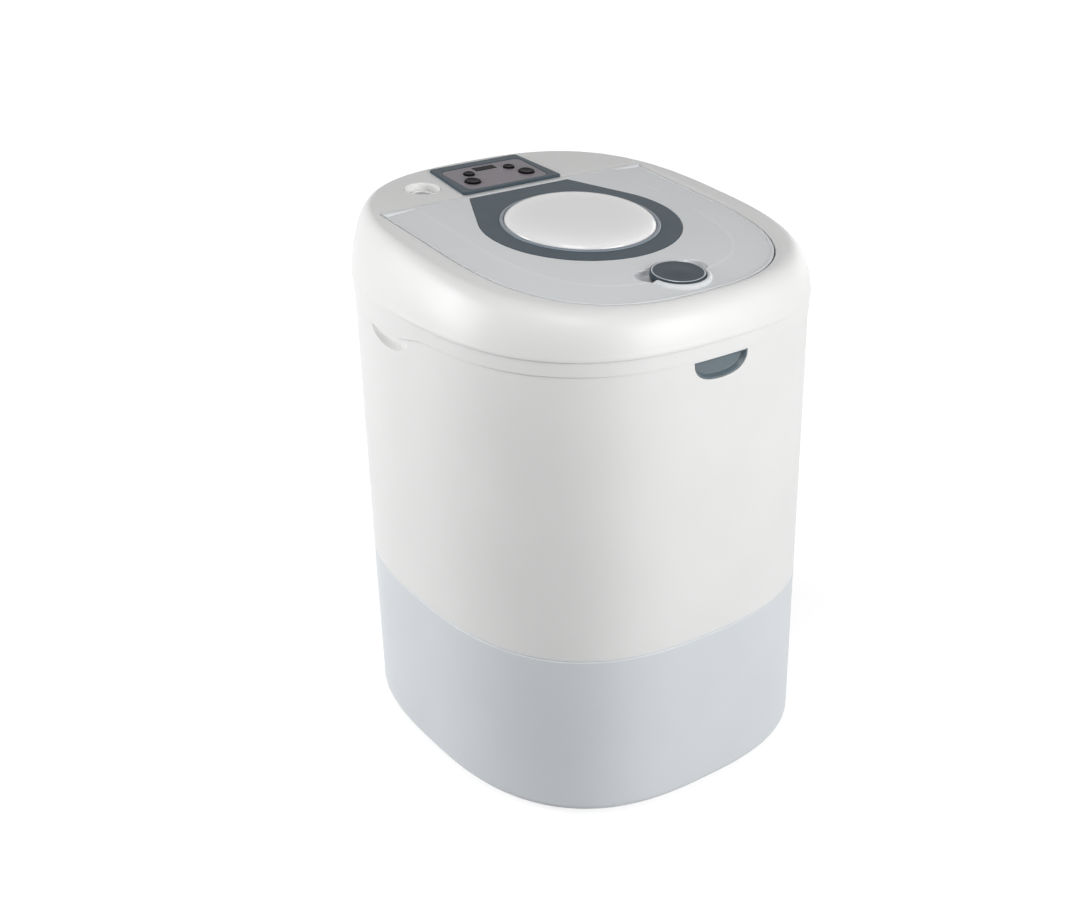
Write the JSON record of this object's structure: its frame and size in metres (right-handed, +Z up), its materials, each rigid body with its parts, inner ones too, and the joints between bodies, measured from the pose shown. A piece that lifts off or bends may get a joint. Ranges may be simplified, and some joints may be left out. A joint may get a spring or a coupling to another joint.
{
  "type": "mini washing machine",
  "caption": "Compact top-loading washing machine with rounded cabinet, hinged domed lid, rear control panel, hung tub, spin basket and belt-driven pulsator.",
  "frame": {"origin": "on the floor under the middle of the cabinet", "axes": "+Z up, -Y the front with the bare recess, +X to the right of someone facing that front"},
  "size_m": [0.423, 0.4678, 0.5966],
  "materials": {
    "cabinet_white": "smooth moulded, glossy",
    "base_grey": "smooth moulded, satin",
    "lid_white": "smooth moulded, glossy",
    "slate": "smooth moulded, satin",
    "pearl": "pearl gloss",
    "fascia": "film overlay, bare of print",
    "window": "dark tinted window",
    "button": "dark, polished",
    "inner_plastic": "moulded, plain",
    "basket_plastic": "smooth moulded",
    "board": "lacquered circuit board",
    "rubber": "matt black",
    "steel": "bright turned or drawn",
    "zinc": "zinc-plated sheet",
    "cast": "cast and machined"
  },
  "bodies": {
    "cabinet": {"base_shell": "base_grey", "rear_recesses": "base_grey", "rubber_feet": "rubber", "cabinet_shell": "cabinet_white", "top_frame": "cabinet_white", "lid_well": "cabinet_white", "splash_ring": "cabinet_white", "control_housing": "slate", "fascia": "fascia", "display_window": "window", "control_board": "board", "inlet_fitting": "cabinet_white", "inlet_filter": "inner_plastic", "inlet_valve": "inner_plastic", "front_badge": "slate", "rear_cover": "cabinet_white", "rear_screws": "zinc", "cord_gland": "rubber", "drain_outlet": "inner_plastic", "pressure_sensor": "inner_plastic", "lid_switch": "button", "hinge_pins": "steel", "rod_brackets": "zinc", "rod_seats": "inner_plastic", "suspension_rods": "steel", "rod_nuts": "zinc", "suspension_springs": "steel"},
    "power_key": {"power_button": "button"},
    "start_key": {"start_button": "button"},
    "program_key": {"program_button": "button"},
    "level_key": {"level_button": "button"},
    "tub_unit": {"outer_tub": "inner_plastic", "tub_cover": "inner_plastic", "support_frame": "zinc", "bearing_housing": "cast", "main_bearings": "steel", "tub_seal": "rubber", "motor_body": "zinc", "capacitor": "inner_plastic", "drain_valve": "inner_plastic", "drain_hose": "rubber", "drive_belt": "rubber"},
    "basket_unit": {"basket": "basket_plastic", "balance_ring": "cabinet_white", "hub_flange": "cast", "spin_tube": "steel", "lint_filter": "lid_white"},
    "wash_drive": {"pulsator": "basket_plastic", "pulsator_screw": "steel", "wash_shaft": "steel", "driven_pulley": "cast"},
    "motor_drive": {"motor_rotor": "steel", "motor_pulley": "cast"},
    "lid": {"lid_panel": "lid_white", "lid_trim": "slate", "dome_bezel": "slate", "lid_dome": "pearl", "lid_liner": "lid_white"},
    "lid_push": {"lid_button": "slate", "button_ring": "steel"}
  },
  "joints": [
    {"name": "lid_hinge", "type": "hinge", "parent": "cabinet", "child": "lid", "pos_m": [0, 0.11091, 0.58208], "axis": [-1, 0, 0], "range_deg": [0, 95]},
    {"name": "lid_button_press", "type": "slide", "parent": "lid", "child": "lid_push", "axis": [0, 0.0906, -0.9959], "range_m": [0, 0.0025], "stiffness_N_per_m": 800, "springref_m": -0.002},
    {"name": "power_button_press", "type": "slide", "parent": "cabinet", "child": "power_key", "axis": [0, 0.0906, -0.9959], "range_m": [0, 0.001], "stiffness_N_per_m": 500, "springref_m": -0.001},
    {"name": "start_button_press", "type": "slide", "parent": "cabinet", "child": "start_key", "axis": [0, 0.0906, -0.9959], "range_m": [0, 0.001], "stiffness_N_per_m": 500, "springref_m": -0.001},
    {"name": "program_button_press", "type": "slide", "parent": "cabinet", "child": "program_key", "axis": [0, 0.0906, -0.9959], "range_m": [0, 0.001], "stiffness_N_per_m": 500, "springref_m": -0.001},
    {"name": "level_button_press", "type": "slide", "parent": "cabinet", "child": "level_key", "axis": [0, 0.0906, -0.9959], "range_m": [0, 0.001], "stiffness_N_per_m": 500, "springref_m": -0.001},
    {"name": "tub_bounce", "type": "slide", "parent": "cabinet", "child": "tub_unit", "axis": [0, 0, 1], "range_m": [-0.003, 0.003], "stiffness_N_per_m": 9000, "springref_m": 0.01315, "deforming": ["suspension_springs"]},
    {"name": "basket_spin", "type": "hinge", "parent": "tub_unit", "child": "basket_unit", "pos_m": [0, -0.012, 0.172], "axis": [0, 0, 1], "continuous": true},
    {"name": "pulsator_spin", "type": "hinge", "parent": "tub_unit", "child": "wash_drive", "pos_m": [0, -0.012, 0.172], "axis": [0, 0, 1], "continuous": true},
    {"name": "motor_spin", "type": "hinge", "parent": "tub_unit", "child": "motor_drive", "pos_m": [0.104, -0.012, 0.1], "axis": [0, 0, 1], "continuous": true}
  ],
  "couplings": [
    {"joint": "motor_spin", "follows": "pulsator_spin", "ratio": 3.68}
  ]
}
